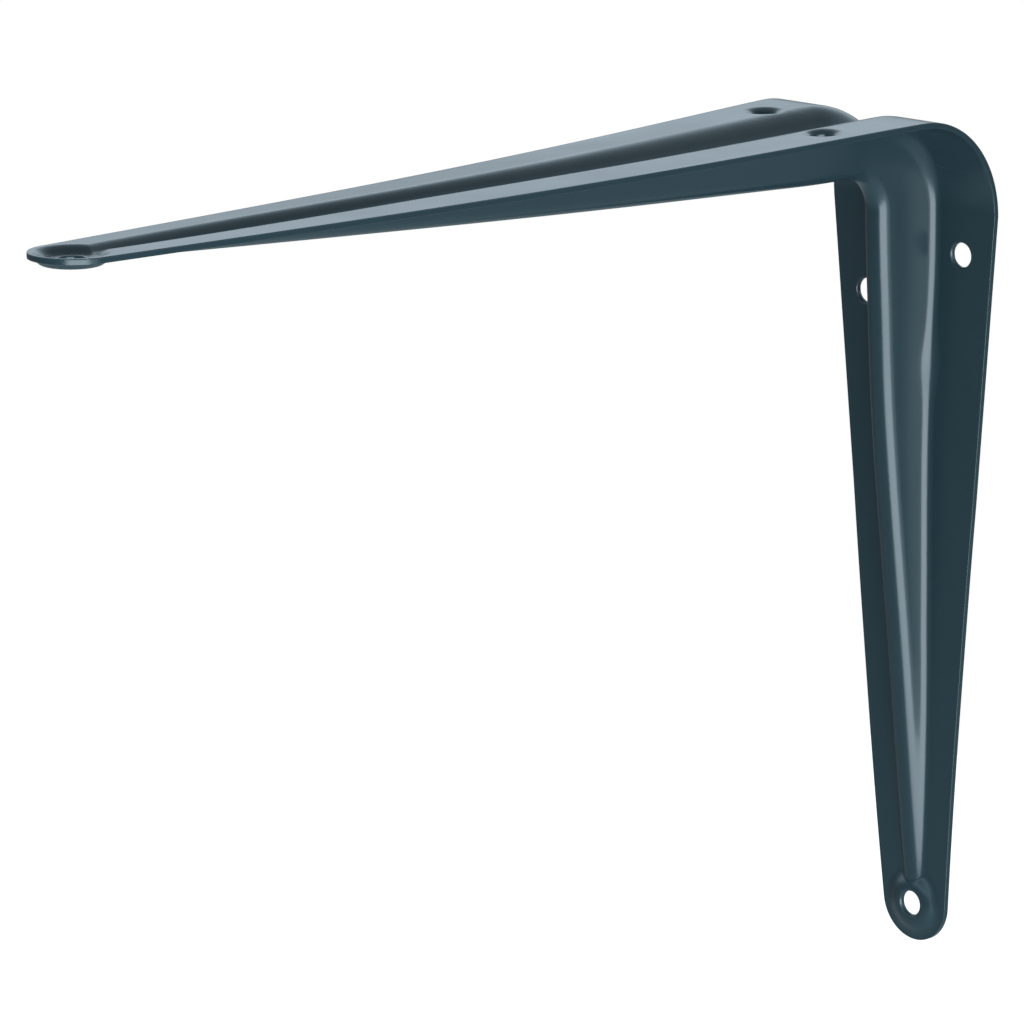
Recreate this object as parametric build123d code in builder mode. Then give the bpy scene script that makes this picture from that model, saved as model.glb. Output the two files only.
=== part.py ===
from build123d import *
import os
from math import acos, asin, atan2, cos, hypot, radians, sin, tan

# Pressed shelf bracket, 200 x 150 mm: one strip of sheet steel, bent to a right angle.
# Both arms taper to a round tip. A hat-shaped rib is pressed into the inner side of the
# bracket. It is deepest round the bend, and runs out into a shallow round boss at each tip.
# The sheet keeps its thickness everywhere, so the back of the rib is an open groove.
#
# Frame, in millimetres: the wall face is the plane x = 0 and the shelf face is z = 0.
# They meet in the Y axis. The wall arm hangs along -Z, the shelf arm runs out along +X.

# ---- driving dimensions ----
wall_length = 150.0         # outer corner to the tip of the wall arm
shelf_length = 200.0        # outer corner to the tip of the shelf arm
root_width = 37.5           # width of the strip round the bend
tip_radius = 7.5            # round end of each arm
tip_hole_inset = 6.8        # from the end of an arm to the hole in its boss
thickness = 1.0             # of the sheet
bend_radius = 18.5          # outside of the bend, on the flanges

# the rib, measured on its room side
rib_depth = 11.8            # crown over the mounting face, round the bend
crown_flat_root = 1.4       # flat of the crown, across the arm, at the bend
crown_flat_tip = 2.4        # the same at the tip
crown_radius_root = 2.2     # from the flat crown into the side wall, at the bend
crown_radius_tip = 1.3      # the same at the tip
foot_radius_root = 5.5      # from the side wall into the flange, at the bend
foot_radius_tip = 0.8       # the same at the tip
wall_angle = 70.0           # steepest slope of the side wall against the flange
run_out = 13.0              # length over which the rib leaves the bend and starts to fall
rib_reach = 6.3             # from the hole in a boss back to where the crown is down to its height
station_step = 20.0         # about the distance between two cross-sections of its straight run

# the round boss at each tip
boss_rise = 1.1             # its flat top over the flange
boss_flat_radius = 4.3      # radius of that flat top
boss_crown_radius = 1.5     # from the flat top into the flank
boss_foot_radius = 1.0      # from the flank into the flange
boss_wall_angle = 46.0      # slope of the flank between them

# screw holes, all countersunk from the room side
hole_diameter = 4.3         # clearance for a 4 mm wood screw
sink_depth = 0.5            # of the countersink
sink_angle = 90.0
flange_hole_offset = 11.0   # from the middle of the arm to a flange hole
flange_hole_stagger = 9.0   # between the two flange holes, along the arm
wall_first_hole = 26.0      # from the outer corner to the nearer flange hole
shelf_first_hole = 26.8

# ---- derived values ----
hole_radius = hole_diameter / 2
sink_radius = hole_radius + sink_depth * tan(radians(sink_angle / 2))
boss_top = thickness + boss_rise
flange_half = root_width / 2
groove_clearance = 2.0      # how far a cutting body runs past the mounting face
arc_fill = 0.46             # share of a low rib's height that its two rounds take up

wall_plane = Plane(origin=(0, 0, 0), x_dir=(0, 0, -1), z_dir=(1, 0, 0))
shelf_plane = Plane(origin=(0, 0, 0), x_dir=(1, 0, 0), z_dir=(0, 0, -1))
bend_axis = Axis((bend_radius, 0, -bend_radius), (0, -1, 0))


def section_plane(arm_plane, distance):
    """Plane across an arm: its x runs across the strip, its y away from the mounting face."""
    origin = arm_plane.from_local_coords((distance, 0, 0))
    return Plane(origin=origin, x_dir=arm_plane.y_dir, z_dir=arm_plane.x_dir)


def share_along(distance, end):
    """0 at the bend and 1 at end, straight but for a smooth start over run_out."""
    reach = distance - bend_radius
    whole = end - bend_radius - run_out / 2
    if reach < run_out:
        return reach * reach / (2 * run_out) / whole
    return (reach - run_out / 2) / whole


def flank(rise, flat, crown, foot, angle, skin):
    """Points of a flank from the flat top down to the flange, at skin below the room side."""
    wall = (rise - (crown + foot) * (1 - cos(angle))) / sin(angle)
    reach = flat + (crown + foot) * sin(angle) + wall * cos(angle)
    top = thickness + rise
    small, large = crown - skin, foot + skin
    half = angle / 2
    crown_start = (flat, top - skin)
    crown_middle = (flat + small * sin(half), top - crown + small * cos(half))
    crown_end = (flat + small * sin(angle), top - crown + small * cos(angle))
    foot_start = (reach - large * sin(angle), thickness + foot - large * cos(angle))
    foot_middle = (reach - large * sin(half), thickness + foot - large * cos(half))
    foot_end = (reach, thickness - skin)
    return crown_start, crown_middle, crown_end, foot_start, foot_middle, foot_end


def rib_flank(distance, end, skin):
    """Flank of the rib at a distance from the outer corner."""
    share = share_along(distance, end)
    rise = rib_depth + (boss_top - rib_depth) * share - thickness
    flat = (crown_flat_root + (crown_flat_tip - crown_flat_root) * share) / 2
    crown = crown_radius_root + (crown_radius_tip - crown_radius_root) * share
    foot = foot_radius_root + (foot_radius_tip - foot_radius_root) * share
    filled = acos(max(1 - arc_fill * rise / (crown + foot), -1.0))
    return flank(rise, flat, crown, foot, min(radians(wall_angle), filled), skin)


def half_outline(points, floor):
    """Outline of one side: the flat top from the middle out, the flank, and the floor back."""
    crown_start, crown_middle, crown_end, foot_start, foot_middle, foot_end = points
    with BuildLine() as outline:
        Line((0, crown_start[1]), crown_start)
        ThreePointArc(crown_start, crown_middle, crown_end)
        Line(crown_end, foot_start)
        ThreePointArc(foot_start, foot_middle, foot_end)
        Polyline(foot_end, (foot_end[0], floor), (0, floor))
    return outline.line


def rib_face(points, floor):
    """Cross-section of the rib, both sides, down to a straight floor."""
    with BuildSketch() as section:
        with BuildLine():
            add(half_outline(points, floor))
            mirror(about=Plane.YZ)
        make_face()
    return section.sketch


def rib_body(arm_plane, end, skin, floor):
    """Rib of one arm as a solid, lofted through its cross-sections."""
    boss_centre = end + rib_reach
    straight = boss_centre - bend_radius - run_out
    steps = round(straight / station_step)
    stations = [bend_radius, bend_radius + run_out / 3, bend_radius + run_out * 2 / 3]
    stations += [bend_radius + run_out + straight * step / steps for step in range(steps + 1)]
    with BuildPart() as body:
        for distance in stations:
            with BuildSketch(section_plane(arm_plane, distance)):
                add(rib_face(rib_flank(distance, end, skin), floor))
        loft(ruled=True)
    return body.part


def boss_body(arm_plane, centre, skin, floor):
    """Boss as a solid of revolution round its hole."""
    slope = radians(boss_wall_angle)
    points = flank(boss_rise, boss_flat_radius, boss_crown_radius, boss_foot_radius, slope, skin)
    across = section_plane(arm_plane, centre)
    with BuildPart() as body:
        with BuildSketch(across):
            with BuildLine():
                add(half_outline(points, floor))
                Line((0, floor), (0, points[0][1]))
            make_face()
        revolve(axis=Axis(across.origin, across.y_dir), revolution_arc=360)
    return body.part


def arm_face(length):
    """Flat outline of one arm: a wide root, sides that close in, and a round tip they touch."""
    tip_centre = length - tip_radius
    span = tip_centre - bend_radius
    lean = atan2(flange_half, span) - asin(tip_radius / hypot(flange_half, span))
    side_end = (tip_centre + tip_radius * sin(lean), tip_radius * cos(lean))
    with BuildSketch() as outline:
        with BuildLine():
            Polyline((bend_radius, 0), (bend_radius, flange_half), side_end)
            RadiusArc(side_end, (length, 0), tip_radius)
            mirror(about=Plane.XZ)
        make_face()
    return outline.sketch


def pressed_arm(arm_plane, length, first_hole):
    """One arm from the bend to its tip, with rib, boss and its three holes."""
    boss_centre = length - tip_hole_inset
    rib_end = boss_centre - rib_reach
    second_hole = first_hole + flange_hole_stagger
    with BuildPart() as arm:
        with BuildSketch(arm_plane):
            add(arm_face(length))
        extrude(amount=thickness, dir=arm_plane.z_dir)
        add(rib_body(arm_plane, rib_end, 0, 0))
        add(boss_body(arm_plane, boss_centre, 0, 0))
        add(rib_body(arm_plane, rib_end, thickness, -groove_clearance), mode=Mode.SUBTRACT)
        add(boss_body(arm_plane, boss_centre, thickness, -groove_clearance), mode=Mode.SUBTRACT)
        flange_side = arm_plane.offset(thickness)
        boss_side = arm_plane.offset(boss_top)
        near_hole = flange_side.location * Location((first_hole, flange_hole_offset))
        far_hole = flange_side.location * Location((second_hole, -flange_hole_offset))
        boss_hole = boss_side.location * Location((boss_centre, 0))
        with Locations(near_hole, far_hole, boss_hole):
            CounterSinkHole(hole_radius, sink_radius, counter_sink_angle=sink_angle)
    return arm.part


with BuildPart() as bracket:
    with BuildSketch(section_plane(shelf_plane, bend_radius)):
        Rectangle(root_width, thickness, align=(Align.CENTER, Align.MIN))
        add(rib_face(rib_flank(bend_radius, shelf_length, 0), 0))
    revolve(axis=bend_axis, revolution_arc=90)
    with BuildSketch(section_plane(shelf_plane, bend_radius)):
        add(rib_face(rib_flank(bend_radius, shelf_length, thickness), -groove_clearance))
    revolve(axis=bend_axis, revolution_arc=90, mode=Mode.SUBTRACT)
    add(pressed_arm(wall_plane, wall_length, wall_first_hole))
    add(pressed_arm(shelf_plane, shelf_length, shelf_first_hole))

bracket.part.label = "bracket"
os.makedirs("parts", exist_ok=True)
export_step(bracket.part, "parts/bracket.step")
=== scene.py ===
import bmesh
import bpy
import numpy as np
from mathutils import Matrix, Vector


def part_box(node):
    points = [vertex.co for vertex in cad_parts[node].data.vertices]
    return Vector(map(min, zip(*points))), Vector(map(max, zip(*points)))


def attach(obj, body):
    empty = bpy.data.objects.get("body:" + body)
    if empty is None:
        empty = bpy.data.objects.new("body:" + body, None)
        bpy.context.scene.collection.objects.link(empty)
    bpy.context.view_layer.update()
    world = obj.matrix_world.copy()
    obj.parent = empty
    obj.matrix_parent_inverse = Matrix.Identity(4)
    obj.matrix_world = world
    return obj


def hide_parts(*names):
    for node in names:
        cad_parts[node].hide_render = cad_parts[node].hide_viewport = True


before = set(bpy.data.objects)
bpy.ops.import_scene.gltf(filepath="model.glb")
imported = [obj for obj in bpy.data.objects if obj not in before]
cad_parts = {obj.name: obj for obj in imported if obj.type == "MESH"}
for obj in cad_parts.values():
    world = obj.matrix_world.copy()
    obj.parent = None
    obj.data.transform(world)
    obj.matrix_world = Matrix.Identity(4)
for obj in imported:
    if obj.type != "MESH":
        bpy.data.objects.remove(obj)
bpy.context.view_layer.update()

# ---------------------------------------------------------------------------------------
# The sheet. A shelf bracket is stamped from one strip of 1 mm steel: wide where it turns
# the corner, and narrowing to a round tip on each arm. Its sheared edges are broken a
# little before painting, more on the back than on the room side.
# ---------------------------------------------------------------------------------------
mm = 0.001                      # in metres, the unit of the frame
box_low, box_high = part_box("bracket")
wall_length = -box_low.z
shelf_length = box_high.x
half_width = box_high.y
thickness = 1.0 * mm
bend_radius = 18.5 * mm         # outside of the bend, on the flanges
tip_radius = 7.25 * mm
room_edge_round = 0.09 * mm     # of the sheared edge, towards the room
back_edge_round = 0.14 * mm     # and towards the wall or the shelf
hole_radius = 4.3 / 2 * mm
flange_hole_offset = 11.0 * mm
flange_hole_stagger = 9.0 * mm

# An arm is described by where it points and which way leads off its mounting face. Places on
# it are a distance from the outer corner, a distance across, and a height over that face.
wall_arm = {"along": np.array((0, 0, -1.0)), "away": np.array((1.0, 0, 0)), "length": wall_length}
shelf_arm = {"along": np.array((1.0, 0, 0)), "away": np.array((0, 0, -1.0)), "length": shelf_length}
across_axis = np.array((0, 1.0, 0))
for arm, first_side, first_hole in ((wall_arm, 1, 26.0 * mm), (shelf_arm, -1, 26.8 * mm)):
    arm["holes"] = [(first_hole, first_side * flange_hole_offset),
                    (first_hole + flange_hole_stagger, -first_side * flange_hole_offset)]

# Each arm has sprung a little after pressing: its rib has drifted sideways, its crown and its
# edges have sagged, its tip has turned, and the countersinking has dished the sheet.
wall_arm.update(
    drift=-1.0 * mm, drift_most_at=40 * mm, tip_turn=0.75 * mm,
    crown_sag=0, edge_sag=0, sag_most_at=95 * mm,
    dish_radius=3.0 * mm, dish_depth=0.05 * mm)
shelf_arm.update(
    drift=0.9 * mm, drift_most_at=75 * mm, tip_turn=0,
    crown_sag=0.3 * mm, edge_sag=1.0 * mm, sag_most_at=95 * mm,
    dish_radius=3.8 * mm, dish_depth=0.55 * mm)
drift_half_width = 14 * mm      # across the arm the drift has died out here, and the sag is full
tip_turn_from = 0.73            # share of the arm's length past which its tip turns
tip_hold = 6                    # power of the share of the length that holds the tip still


def spring_back(arm, distance, across):
    """How far the arm has sprung after the stroke, sideways and off its mounting face. Along the
    arm it is a power of x e^(1-x), the 4th for drift and the 1.5th for sag, which is 1 where x
    is 1, and it dies out at the tip. Across the arm the drift falls as a parabola from the middle
    and the sag changes evenly to the edge. The tip turns to the side by a parabola."""
    reach = np.maximum(distance - bend_radius, 0)
    drift_x, sag_x = reach / arm["drift_most_at"], reach / arm["sag_most_at"]
    held = 1 - (distance / arm["length"])**tip_hold
    drift = arm["drift"] * (drift_x * np.exp(1 - drift_x))**4 * held
    sag = (sag_x * np.exp(1 - sag_x))**1.5 * held
    share = np.minimum(np.abs(across) / drift_half_width, 1)
    turn = (np.maximum(distance / arm["length"] - tip_turn_from, 0) / (1 - tip_turn_from))**2
    most_sag = arm["crown_sag"] + (arm["edge_sag"] - arm["crown_sag"]) * share
    return (drift * (1 - share**2) + arm["tip_turn"] * turn,
            sag * most_sag + dish(arm, distance, across))


def dish(arm, distance, across):
    """The shallow dish that countersinking leaves round a flange hole, on both sides of the
    sheet: a parabola from dish_depth at the hole to nothing at dish_radius."""
    depth = 0
    for centre in arm["holes"]:
        away = np.hypot(distance - centre[0], across - centre[1])
        x = np.clip((arm["dish_radius"] - away) / (arm["dish_radius"] - hole_radius), 0, 1)
        depth = depth + arm["dish_depth"] * x**2
    return depth


def on_arm(arm, distance, across, height):
    """Points of an arm: its direction times distance, plus Y times across, plus away times height,
    with its spring-back."""
    distance, across, height = np.broadcast_arrays(distance, across, height)
    sideways, off = spring_back(arm, distance, across)
    return (distance[..., None] * arm["along"] + (across + sideways)[..., None] * across_axis
            + (height + off)[..., None] * arm["away"])


def on_bend(angle, across, height):
    """Points of the bend: on circles about its axis, of radius bend_radius less the height."""
    angle, across, height = np.broadcast_arrays(angle, across, height)
    axis = bend_radius * (wall_arm["away"] + shelf_arm["away"])
    outward = (-np.cos(angle)[..., None] * wall_arm["away"]
               - np.sin(angle)[..., None] * shelf_arm["away"])
    return axis + (bend_radius - height)[..., None] * outward + across[..., None] * across_axis


def arm_lean(arm):
    """Slope of an arm's straight side, the tangent from the corner of its root to its tip circle."""
    span = arm["length"] - tip_radius - bend_radius
    return np.arctan2(half_width, span) - np.arcsin(tip_radius / np.hypot(half_width, span))


def edge_profile(samples=4):
    """The broken edge as (inset from the outline, height): a quarter round, a flat, a quarter round."""
    turn = np.linspace(0, np.pi / 2, samples + 1)
    room = room_edge_round * (1 - np.sin(turn)), thickness - room_edge_round * (1 - np.cos(turn))
    back = back_edge_round * (1 - np.cos(turn)), back_edge_round * (1 - np.sin(turn))
    return np.concatenate((room[0], back[0])), np.concatenate((room[1], back[1]))


# ---------------------------------------------------------------------------------------
# The rib and the bosses. A hat-shaped rib is drawn into the sheet round the inner corner. It
# gets lower and narrower along each arm, and runs into a shallow boss that carries the tip's
# screw hole. The back follows the front, so the sheet keeps its thickness.
# ---------------------------------------------------------------------------------------
rib_depth = 11.8 * mm           # crown over the mounting face, round the bend
crown_flat = 0.3 * mm           # width of its top
crown_radius = 2.65 * mm        # from the top into the side wall
foot_radius = 2.0 * mm          # from the side wall into the flange
wall_angle = np.radians(75.7)   # steepest slope of the side wall
wall_arm.update(foot_root=foot_radius, swell=1.3 * mm, swell_at=45.5 * mm)
shelf_arm.update(foot_root=4.8 * mm, swell=0, swell_at=0)
swell_length = 5.0 * mm         # of the foot's swelling on the wall arm
foot_ease_end = 0.65            # share of the rib's fall over which the foot eases to foot_radius
arc_fill = 0.73                 # share of a low flank that its two rounds take up
run_out = 13.0 * mm             # over which the rib leaves the bend and starts to fall
rib_reach = 6.3 * mm            # from the tip's hole back to where the crown has the boss's height
least_rise = 0.0002 * mm        # of the rib past the boss, which keeps its rounds defined
tip_hole_inset = 6.8 * mm
boss_rise = 1.1 * mm
wall_arm.update(boss_flat=2.7 * mm, boss_round=3.6 * mm, boss_angle=np.radians(32))
shelf_arm.update(boss_flat=4.3 * mm, boss_round=1.4 * mm, boss_angle=np.radians(46))
crease_round = 0.25 * mm        # where the rib meets the boss


class Flank:
    """A drawn step seen across it: flat top, round, straight wall, round, flange. skin is how
    deep under the room side it lies; its rounds are concentric with those of the room side."""

    def __init__(self, rise, flat, crown, foot, angle, skin):
        rounds = crown + foot
        self.angle = angle
        wall = (rise - rounds * (1 - np.cos(self.angle))) / np.sin(self.angle)
        self.flat = flat
        self.reach = flat + rounds * np.sin(self.angle) + wall * np.cos(self.angle)
        self.small, self.large = crown - skin, foot + skin      # radii of the rounds
        self.top, self.low = thickness + rise - skin, thickness - skin
        self.crown_end = self.flat + self.small * np.sin(self.angle)
        self.foot_start = self.reach - self.large * np.sin(self.angle)

    def height(self, across):
        """Height over the mounting face, by circle equations on the rounds and a line between."""
        drop = 1 - np.cos(self.angle)
        high, low = self.top - self.small * drop, self.low + self.large * drop
        on_crown = np.clip(across - self.flat, 0, self.small)
        on_foot = np.clip(self.reach - across, 0, self.large)
        crown = self.top - self.small + np.sqrt(self.small**2 - on_crown**2)
        foot = self.low + self.large - np.sqrt(self.large**2 - on_foot**2)
        share = (across - self.crown_end) / (self.foot_start - self.crown_end)
        wall = high + (low - high) * share
        return np.where(across < self.crown_end, crown, np.where(across < self.foot_start, wall, foot))

    def columns(self, edge):
        """Distances across at which the mesh has its lines, from the middle out to edge: evenly
        by angle on the rounds and by length elsewhere. The last axis runs over them."""
        def spread(count, first=1):
            return np.arange(first, count + 1) / count
        flat, reach, angle, small, large, crown_end, foot_start, edge = (part[:, None] for part in (
            self.flat, self.reach, self.angle, self.small, self.large,
            self.crown_end, self.foot_start, edge))
        return np.concatenate((
            flat * spread(2, 0),
            flat + small * np.sin(angle * spread(8)),
            crown_end + (foot_start - crown_end) * spread(5),
            reach - large * np.sin(angle * (1 - spread(9))),
            reach + (edge - reach) * spread(14)), axis=1)


def rib_section(rise, foot, skin):
    """The rib's flank for a rise and a foot radius. A low flank is less steep: then arc_fill of
    its rise is in its rounds."""
    filled = np.arccos(np.maximum(1 - arc_fill * rise / (crown_radius + foot), -1))
    same = np.ones_like(rise)
    return Flank(rise, crown_flat / 2 * same, crown_radius * same, foot * same,
                 np.minimum(wall_angle, filled), skin)


def smooth_step(share):
    """From 0 to 1, level at both ends: 3 share^2 - 2 share^3."""
    share = np.clip(share, 0, 1)
    return share**2 * (3 - 2 * share)


def rib_at(arm, distance, skin):
    """The rib's flank at distances along an arm. Its share of the way to the tip is a parabola
    over run_out and straight from there. Past the boss the rib fades out within its height. Its
    foot radius eases from foot_root to foot_radius, with a bell-shaped swelling."""
    boss_centre = arm["length"] - tip_hole_inset
    whole = boss_centre - rib_reach - bend_radius - run_out / 2
    reach = np.maximum(distance - bend_radius, 0)
    share = np.where(reach < run_out, reach**2 / (2 * run_out), reach - run_out / 2) / whole
    depth = rib_depth + (thickness + boss_rise - rib_depth) * share
    fade = np.clip((boss_centre + tip_hole_inset / 2 - distance) / (tip_hole_inset / 2), 0, 1)
    rise = np.maximum((depth - thickness) * fade, least_rise)
    foot = foot_radius + (arm["foot_root"] - foot_radius) * smooth_step(1 - share / foot_ease_end)
    bell = np.exp(-((distance - arm["swell_at"]) / swell_length)**2) * (distance > bend_radius)
    return rib_section(rise, foot + arm["swell"] * bell, skin)


def rib_in_bend(angle, skin):
    """The rib's flank at angles round the bend, from the wall arm's to the shelf arm's, its foot
    radius a smooth step."""
    foot = foot_radius + (shelf_arm["foot_root"] - foot_radius) * smooth_step(angle / (np.pi / 2))
    return rib_section((rib_depth - thickness) * np.ones_like(angle), foot, skin)


def boss_section(arm, skin):
    """The flank of an arm's boss, with the same radius on its crown and at its foot."""
    return Flank(boss_rise, arm["boss_flat"], arm["boss_round"], arm["boss_round"],
                 arm["boss_angle"], skin)


def arm_height(arm, distance, across, skin):
    """Height of an arm's surface: the higher of rib and boss, their crease filled by a parabola
    a quarter of crease_round high at most."""
    rib = rib_at(arm, distance, skin).height(np.abs(across))
    boss_centre = arm["length"] - tip_hole_inset
    boss = boss_section(arm, skin).height(np.hypot(distance - boss_centre, across))
    lower = np.minimum(rib, boss) - (thickness - skin)
    soft = crease_round * np.clip(lower / crease_round, 1e-6, 1)
    near = np.maximum(soft - np.abs(rib - boss), 0)
    return np.maximum(rib, boss) + near**2 / (4 * soft)


# ---------------------------------------------------------------------------------------
# The mesh of the sheet. Long grids follow the strip from tip to tip on both of its sides and
# round its edges. Each hole sits in a collar, which replaces a window of the grid and joins
# its rim to the hole by straight rays. Equal points of neighbours are merged at the end.
# ---------------------------------------------------------------------------------------
grid_step = 1.0 * mm
bend_steps = 36
tip_side_steps = 12             # along each straight side of a tip
tip_round_steps = 48            # round its end
tip_patch = 10.0 * mm           # from the tip's hole back to where its collar starts
weld_distance = 0.001 * mm
corners, quads, corner_count = [], [], 0


def add_grid(points, keep=None):
    """Adds a grid of points, shape (m, n, 3), and its m-1 by n-1 faces, less those not kept."""
    global corner_count
    m, n = points.shape[:2]
    index = np.arange(m * n).reshape(m, n) + corner_count
    faces = np.stack((index[:-1, :-1], index[1:, :-1], index[1:, 1:], index[:-1, 1:]), axis=-1)
    corners.append(points.reshape(-1, 3))
    quads.append(faces[keep] if keep is not None else faces.reshape(-1, 4))
    corner_count += m * n


def window_rim(distance, across, rows, columns):
    """The closed rim of a window of the grid, as its distances and acrosses, the first repeated."""
    (first, last), (left, right) = rows, columns
    high, wide = last - first, right - left
    row = np.concatenate((np.arange(first, last), np.full(wide, last),
                          np.arange(last, first, -1), np.full(wide, first), [first]))
    column = np.concatenate((np.full(high, left), np.arange(left, right),
                             np.full(high, right), np.arange(right, left, -1), [left]))
    return distance[row], across[row, column]


# ---------------------------------------------------------------------------------------
# The screw holes. Four holes in the flanges beside the corner, staggered so that the screws
# don't meet, and one in each boss. They are punched for a 4 mm wood screw and countersunk a
# quarter of the way, and paint rounds both of their rims.
# ---------------------------------------------------------------------------------------
sink_depth = 0.25 * mm
rim_reach = 0.2 * mm            # how far outside a countersink its rounded rim starts
window = 4.2 * mm               # half the side of the window round a flange hole

sink_radius = hole_radius + sink_depth
room_rim = np.array((          # radius and depth under the room side, from the rim to the hole
    (sink_radius + rim_reach, 0), (sink_radius + 0.08 * mm, 0.012 * mm), (sink_radius, 0.045 * mm),
    (sink_radius - 0.06 * mm, 0.10 * mm), (hole_radius + 0.07 * mm, 0.23 * mm),
    (hole_radius + 0.02 * mm, 0.30 * mm), (hole_radius, 0.38 * mm), (hole_radius, 0.75 * mm))).T
back_rim = np.array((          # the same on the back, depth still counted from the room side
    (hole_radius + rim_reach, thickness), (hole_radius + 0.08 * mm, 0.985 * mm),
    (hole_radius + 0.02 * mm, 0.93 * mm), (hole_radius, 0.85 * mm), (hole_radius, 0.75 * mm))).T


def add_collar(arm, rim, turn, centre, top, radii, rim_rings, skin):
    """A collar: rays run from each rim point to the hole, in rings at radii, which are functions
    of the ray's length, then along rim_rings. turn holds the rays' angles at the hole. The lift
    carries the surface's own height into the hole and fades out with the radius."""
    distance, across = rim
    length = np.hypot(distance - centre[0], across - centre[1])
    start = np.arctan2(across - centre[1], distance - centre[0])
    swing = (turn - start + np.pi) % (2 * np.pi) - np.pi
    ring = radii(length)
    share = (length - ring) / (length - ring[-1])
    angle = start + swing * share
    d, y = centre[0] + ring * np.cos(angle), centre[1] + ring * np.sin(angle)
    d[0], y[0] = distance, across
    surface = on_arm(arm, d, y, arm_height(arm, d, y, skin))
    radius, depth = rim_rings[0][1:, None], rim_rings[1][1:, None]
    d, y = centre[0] + radius * np.cos(turn), centre[1] + radius * np.sin(turn)
    fade = np.clip((radius - rim_rings[0].min()) / np.ptp(rim_rings[0]), 0, 1)
    lift = (arm_height(arm, d, y, skin) - (top - skin)) * fade
    add_grid(np.concatenate((surface, on_arm(arm, d, y, top - depth + lift))))


def window_rings(inner):
    """Rings of a flange hole's collar, 8 even steps from the window's rim to radius inner."""
    steps = np.linspace(0, 1, 9)[:, None]
    return lambda length: length + (inner - length) * steps


def tip_rings(arm, inner, skin):
    """Rings of a tip's collar: 12 steps down to the boss's foot, then rings that crowd on its
    rounds. Where the rim is close to the foot, they are drawn in together."""
    boss = boss_section(arm, skin)
    angle, by_round = boss.angle, np.arange(1, 9) / 8
    foot = boss.reach - boss.large * np.sin(angle * by_round)
    crown = boss.flat + boss.small * np.sin(angle * (1 - by_round))
    top = boss.flat + (inner - boss.flat) * np.arange(1, 6) / 5
    fixed = np.concatenate(((boss.reach,), foot, crown, top))[:, None]
    outer = np.linspace(0, 1, 13)[:-1, None]

    def rings(length):
        squeeze = (np.minimum(length - 0.3 * mm, boss.reach) - inner) / (boss.reach - inner)
        near = inner + (fixed - inner) * squeeze
        return np.concatenate((length + (near[0] - length) * outer, near))
    return rings


# ---------------------------------------------------------------------------------------
# The two arms and the bend, which are one strip of steel, punched, drawn and folded. Each
# arm is laid with the collars of its holes and then its tip, and the bend joins the two.
# ---------------------------------------------------------------------------------------
edge_inset, edge_height = edge_profile()
for arm in (wall_arm, shelf_arm):
    length, lean = arm["length"], arm_lean(arm)
    boss_centre = length - tip_hole_inset
    patch_start = boss_centre - tip_patch
    rows = round((patch_start - bend_radius) / grid_step)
    distance = np.linspace(bend_radius, patch_start, rows + 1)
    half = half_width - (distance - bend_radius) * np.tan(lean)
    room_columns = rib_at(arm, distance, 0).columns(half - room_edge_round)
    back_columns = rib_at(arm, distance, thickness).columns(half - back_edge_round)
    for hole, hole_across in arm["holes"]:
        side = np.sign(hole_across)
        first, last = (int(np.abs(distance - hole - shift).argmin()) for shift in (-window, window))
        at_hole = room_columns[(first + last) // 2]
        left = int(np.flatnonzero(at_hole < flange_hole_offset - window)[-1])
        right = int(np.flatnonzero(at_hole > flange_hole_offset + window)[0])
        keep = np.ones((rows, room_columns.shape[1] - 1), bool)
        keep[first:last, left:right] = False
        centre = np.array((hole, hole_across))
        turn = None
        for columns, skin, rim_rings in (
                (room_columns, 0, room_rim), (back_columns, thickness, back_rim)):
            across = side * columns
            height = arm_height(arm, distance[:, None], across, skin)
            add_grid(on_arm(arm, distance[:, None], across, height), keep)
            rim = window_rim(distance, across, (first, last), (left, right))
            if turn is None:
                turn = np.arctan2(rim[1] - centre[1], rim[0] - centre[0])
            add_collar(arm, rim, turn, centre, thickness, window_rings(rim_rings[0][0]),
                       rim_rings, skin)
        add_grid(on_arm(arm, distance[:, None], side * (half[:, None] - edge_inset), edge_height))

    # the tip: its outline goes straight to the tip circle, round it and back
    tip_centre = length - tip_radius
    side_end = tip_centre + tip_radius * np.sin(lean)
    straight = np.linspace(0, 1, tip_side_steps + 1)[:-1]
    round_turn = np.linspace(lean, np.pi - lean, tip_round_steps + 1)
    half_start = half_width - (patch_start - bend_radius) * np.tan(lean)
    side_across = half_start + (tip_radius * np.cos(lean) - half_start) * straight
    side_distance = patch_start + (side_end - patch_start) * straight
    round_distance = tip_centre + tip_radius * np.sin(round_turn)
    outline_d = np.concatenate((side_distance, round_distance, side_distance[::-1]))
    outline_y = np.concatenate((side_across, tip_radius * np.cos(round_turn), -side_across[::-1]))
    normal = np.concatenate((lean * straight, round_turn, np.pi - lean * straight[::-1]))
    inset = edge_inset[:, None]
    rim_d, rim_y = outline_d - inset * np.sin(normal), outline_y - inset * np.cos(normal)
    add_grid(on_arm(arm, rim_d, rim_y, edge_height[:, None]))
    turn = None
    for columns, skin, rim_rings, ring in (
            (room_columns, 0, room_rim, 0), (back_columns, thickness, back_rim, -1)):
        start_y = np.concatenate((-columns[-1][::-1], columns[-1][1:-1]))
        rim = (np.concatenate((np.full(start_y.shape, patch_start), rim_d[ring])),
               np.concatenate((start_y, rim_y[ring])))
        rim = tuple(np.append(part, part[0]) for part in rim)
        centre = np.array((boss_centre, 0))
        if turn is None:
            turn = np.arctan2(rim[1], rim[0] - boss_centre)
        add_collar(arm, rim, turn, centre, thickness + boss_rise,
                   tip_rings(arm, rim_rings[0][0], skin), rim_rings, skin)

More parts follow.
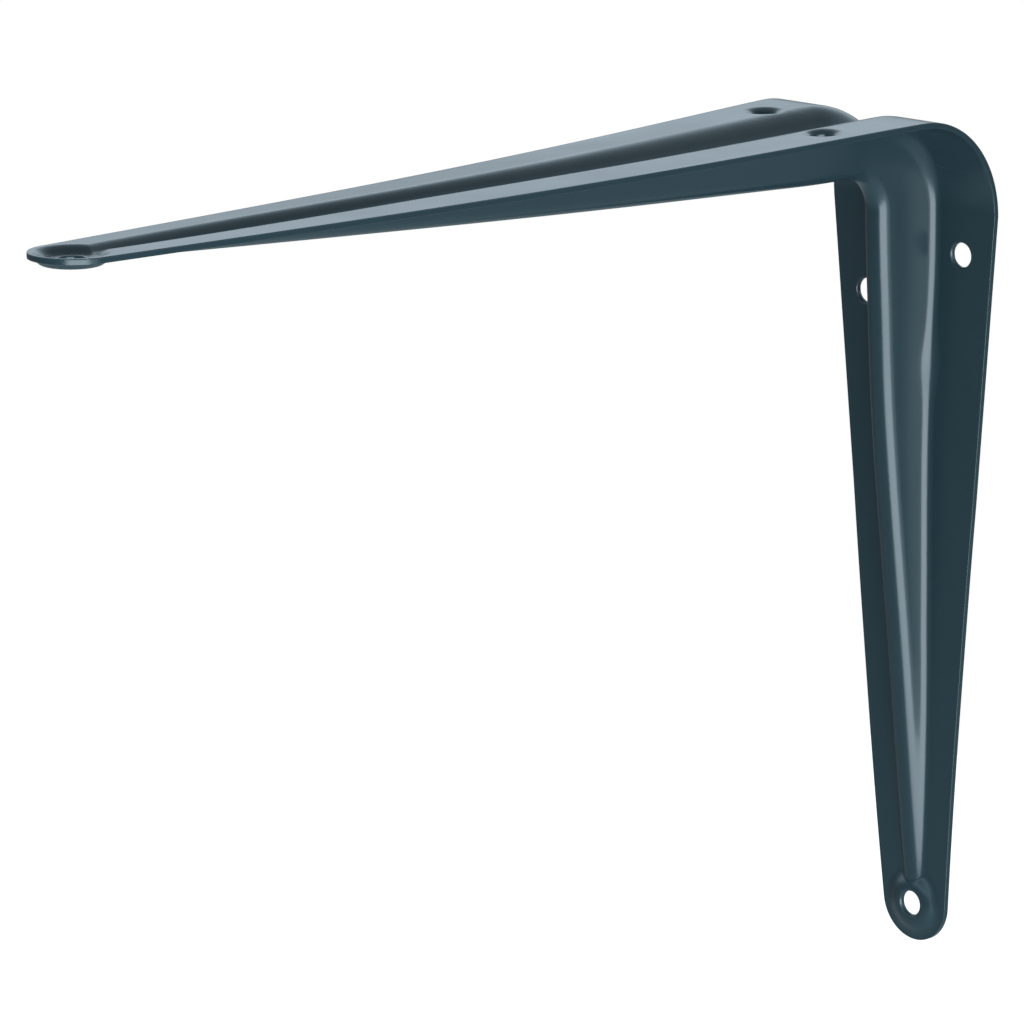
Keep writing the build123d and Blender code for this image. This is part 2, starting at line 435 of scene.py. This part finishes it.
# the bend's rib has the same height all the way round
angle = np.linspace(0, np.pi / 2, bend_steps + 1)[:, None]
for side in (1, -1):
    for skin, rounding in ((0, room_edge_round), (thickness, back_edge_round)):
        edge = np.full(bend_steps + 1, half_width - rounding)
        across = rib_in_bend(angle[:, 0], skin).columns(edge)
        add_grid(on_bend(angle, side * across, rib_in_bend(angle, skin).height(across)))
    add_grid(on_bend(angle, side * (half_width - edge_inset[None, :]), edge_height[None, :]))

sheet_mesh = bpy.data.meshes.new("bracket_skin")
sheet_mesh.from_pydata(np.concatenate(corners).tolist(), [], np.concatenate(quads).tolist())
work = bmesh.new()
work.from_mesh(sheet_mesh)
bmesh.ops.remove_doubles(work, verts=work.verts, dist=weld_distance)
bmesh.ops.dissolve_degenerate(work, edges=work.edges, dist=weld_distance / 2)
bmesh.ops.recalc_face_normals(work, faces=work.faces)
work.to_mesh(sheet_mesh)
work.free()
sheet_mesh.polygons.foreach_set("use_smooth", np.ones(len(sheet_mesh.polygons), bool))
skin_piece = bpy.data.objects.new("bracket_skin", sheet_mesh)
bpy.context.scene.collection.objects.link(skin_piece)
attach(skin_piece, "root")
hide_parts("bracket")


# ---------------------------------------------------------------------------------------
# The paint. A dark slate blue-grey stoving enamel, sprayed and baked, half-glossy, with a
# faint orange peel, a slight waviness under it, and a gloss that varies from place to place.
# ---------------------------------------------------------------------------------------
class Value:
    """A socket of a node tree. Arithmetic on it adds Math nodes; numbers may be on either side."""

    def __init__(self, tree, socket):
        self.tree, self.socket = tree, socket

    def _math(self, operation, *values):
        return shader_node(self.tree, "ShaderNodeMath", {"operation": operation},
                           dict(enumerate(values)))[0]

    def __add__(self, other): return self._math("ADD", self, other)
    def __sub__(self, other): return self._math("SUBTRACT", self, other)
    def __mul__(self, other): return self._math("MULTIPLY", self, other)
    def __rsub__(self, other): return self._math("SUBTRACT", other, self)
    __radd__, __rmul__ = __add__, __mul__


def shader_node(tree, kind, settings, inputs):
    """Adds a node of a kind, sets its settings, then fills its sockets with values or links.
    Returns its outputs as Values, which can be unpacked."""
    node = tree.nodes.new(kind)
    for name, value in settings.items():
        setattr(node, name, value)
    for name, value in inputs.items():
        if isinstance(value, Value):
            tree.links.new(value.socket, node.inputs[name])
        else:
            node.inputs[name].default_value = value
    return [Value(tree, out) for out in node.outputs]


enamel_colour = (0.0108, 0.0262, 0.0345, 1.0)
enamel = bpy.data.materials.new("slate_enamel")
enamel.use_nodes = True
tree = enamel.node_tree
tree.nodes.clear()
place = shader_node(tree, "ShaderNodeTexCoord", {}, {})[3]
peel = shader_node(tree, "ShaderNodeTexNoise", {}, {
    "Vector": place, "Scale": 900.0, "Detail": 1.0})[0]
blotch = shader_node(tree, "ShaderNodeTexNoise", {}, {
    "Vector": place, "Scale": 60.0, "Detail": 3.0})[0]
bump = shader_node(tree, "ShaderNodeBump", {}, {
    "Height": peel + blotch * 10, "Strength": 0.14, "Distance": 0.00005})[0]
surface = shader_node(tree, "ShaderNodeBsdfPrincipled", {}, {
    "Base Color": enamel_colour, "Roughness": 0.20 + blotch * 0.08, "Normal": bump, "IOR": 1.5,
    "Specular Tint": (0.78, 0.92, 1.0, 1.0)})[0]
shader_node(tree, "ShaderNodeOutputMaterial", {}, {"Surface": surface})
sheet_mesh.materials.append(enamel)


# ---------------------------------------------------------------------------------------
# The studio: a pale table under the bracket, a bright softbox and a weaker one beside the
# camera, and a surround that mirrors as a bright wall, dimmer overhead and dark below. The
# table and the surround are white to the camera.
# ---------------------------------------------------------------------------------------
floor_mesh = bpy.data.meshes.new("floor")
floor_level = box_low.z - 0.42
floor_half = 1.3                # half the table's side, in metres
floor_corners = np.array(((-1, -1), (1, -1), (1, 1), (-1, 1))) * floor_half
floor_corners = np.column_stack((floor_corners, np.full(4, floor_level)))
floor_mesh.from_pydata(floor_corners.tolist(), [], [(0, 1, 2, 3)])
floor = bpy.data.objects.new("floor", floor_mesh)
bpy.context.scene.collection.objects.link(floor)
floor_paint = bpy.data.materials.new("floor_paint")
floor_paint.use_nodes = True
tree = floor_paint.node_tree
tree.nodes.clear()
camera_ray = shader_node(tree, "ShaderNodeLightPath", {}, {})[0]
matt = shader_node(tree, "ShaderNodeBsdfDiffuse", {}, {"Color": (0.52, 0.60, 0.64, 1)})[0]
glow = shader_node(tree, "ShaderNodeEmission", {}, {"Color": (1, 1, 1, 1), "Strength": 0.8})[0]
lit_and_glowing = shader_node(tree, "ShaderNodeAddShader", {}, {0: matt, 1: glow})[0]
table_top = shader_node(tree, "ShaderNodeMixShader", {}, {
    0: camera_ray, 1: matt, 2: lit_and_glowing})[0]
shader_node(tree, "ShaderNodeOutputMaterial", {}, {"Surface": table_top})
floor_mesh.materials.append(floor_paint)

world = bpy.data.worlds.new("surround")
bpy.context.scene.world = world
world.use_nodes = True
tree = world.node_tree
tree.nodes.clear()
camera_ray, _, _, glossy_ray = shader_node(tree, "ShaderNodeLightPath", {}, {})[:4]
direction = shader_node(tree, "ShaderNodeTexCoord", {}, {})[0]
rise = shader_node(tree, "ShaderNodeSeparateXYZ", {}, {0: direction})[2]


def grade(low_end, high_end):
    """0 below the sine low_end of the elevation, 1 above high_end, smooth between."""
    return shader_node(tree, "ShaderNodeMapRange", {"interpolation_type": "SMOOTHSTEP"}, {
        "Value": rise, "From Min": low_end, "From Max": high_end})[0]


def surround(colour, strength):
    """An even surround of a colour, at a strength of 1 as bright as the colour is written."""
    return shader_node(tree, "ShaderNodeBackground", {}, {
        "Color": (*colour, 1), "Strength": strength})[0]


def mixed(share, first, second):
    """The first shader where share is 0, and the second where it is 1."""
    return shader_node(tree, "ShaderNodeMixShader", {}, {0: share, 1: first, 2: second})[0]


cool_white = (0.74, 0.89, 1)
level_light, white = surround((1, 1, 1), 0.58), surround((1, 1, 1), 1.0)
dark_room, bright_wall = surround((0.9, 0.96, 1), 0.18), surround(cool_white, 1.75)
overhead = surround(cool_white, 0.55)
upright = mixed(grade(-0.02, 0.26), dark_room, bright_wall)
mirrored = mixed(1 - grade(0.18, 0.70), overhead, upright)
lighting = mixed(glossy_ray, level_light, mirrored)
shader_node(tree, "ShaderNodeOutputWorld", {}, {"Surface": mixed(camera_ray, lighting, white)})


def softbox(name, azimuth, elevation, away, width, height, radiance):
    """An area light that faces the bracket: azimuth from +X towards +Y and elevation in degrees,
    its distance and sides in metres, and how bright its face is."""
    light = bpy.data.lights.new(name, "AREA")
    light.shape, light.size, light.size_y = "RECTANGLE", width, height
    light.energy = radiance * np.pi * width * height
    lamp = bpy.data.objects.new(name, light)
    a, e = np.radians((azimuth, elevation))
    target = Vector((0.05, 0, -0.06))
    outward = Vector((np.cos(a) * np.cos(e), np.sin(a) * np.cos(e), np.sin(e)))
    lamp.location = target + away * outward
    lamp.rotation_euler = (lamp.location - target).to_track_quat("Z", "Y").to_euler()
    bpy.context.scene.collection.objects.link(lamp)
    return lamp


softbox("key_light", 53, -10, 0.98, 1.0, 0.64, 7.2)
softbox("side_light", 93, -10, 0.98, 0.34, 0.64, 1.5)


# ---------------------------------------------------------------------------------------
# The camera. A long lens, about 1.3 m off on the room side and 0.2 m above the shelf's
# underside, which looks down a little at the bracket and is hardly rolled.
# ---------------------------------------------------------------------------------------
camera_place = Vector((918.99, 836.49, 206.65)) * mm
camera_forward = Vector((-0.68310, -0.69660, -0.21937)).normalized()
camera_roll = np.radians(-0.558)
lens = 256.64

level = camera_forward.cross(Vector((0, 0, 1))).normalized()
upward = level.cross(camera_forward)
right = level * np.cos(camera_roll) + upward * np.sin(camera_roll)
up = upward * np.cos(camera_roll) - level * np.sin(camera_roll)
camera = bpy.data.cameras.new("camera")
camera.lens, camera.sensor_width = lens, 36.0
camera.clip_start, camera.clip_end = 0.1, 50.0
camera_object = bpy.data.objects.new("camera", camera)
camera_turn = Matrix((right, up, -camera_forward)).transposed().to_4x4()
camera_object.matrix_world = Matrix.Translation(camera_place) @ camera_turn
bpy.context.scene.collection.objects.link(camera_object)
bpy.context.scene.camera = camera_object
bpy.context.scene.view_settings.view_transform = "Standard"
